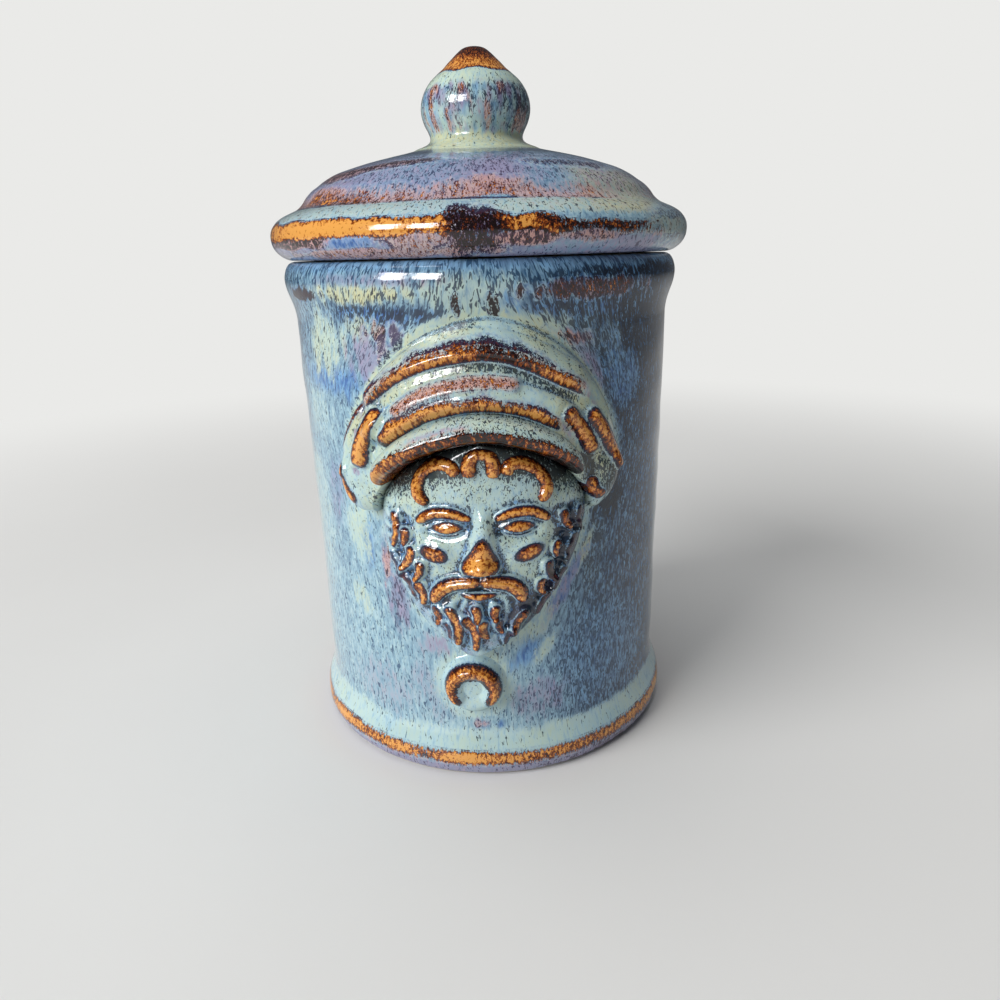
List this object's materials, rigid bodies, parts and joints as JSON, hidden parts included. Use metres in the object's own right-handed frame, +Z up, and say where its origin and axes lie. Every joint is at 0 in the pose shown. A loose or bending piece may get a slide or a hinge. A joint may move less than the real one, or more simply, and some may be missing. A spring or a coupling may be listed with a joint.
{
  "type": "lidded stoneware jar",
  "caption": "Round lidded storage jar in glazed stoneware, with an applied bearded head in a folded cap on its front and a knobbed lid that lifts off.",
  "frame": {"origin": "centre of the flat base, on the surface the jar stands on", "axes": "+Z up through the knob, -Y towards the side with the head, +X to the right as seen facing that side"},
  "size_m": [0.1134, 0.1242, 0.1868],
  "materials": {
    "jar_glaze": "glossy blue glaze with pale streaks",
    "head_glaze": "glossy pale green glaze breaking to brown on the ridges",
    "lid_glaze": "glossy grey-blue glaze banded with brown"
  },
  "bodies": {
    "jar": {"jar_body": "jar_glaze", "cap_crown": "head_glaze", "cap_brim": "head_glaze", "face_and_beard": "head_glaze", "forelock_left": "head_glaze", "forelock_middle": "head_glaze", "forelock_right": "head_glaze", "beard_boss": "head_glaze"},
    "lid": {"lid": "lid_glaze", "lid_knob": "lid_glaze"}
  },
  "joints": [
    {"name": "lid_lift", "type": "slide", "parent": "jar", "child": "lid", "axis": [0, 0, 1], "range_m": [0, 0.12]}
  ]
}
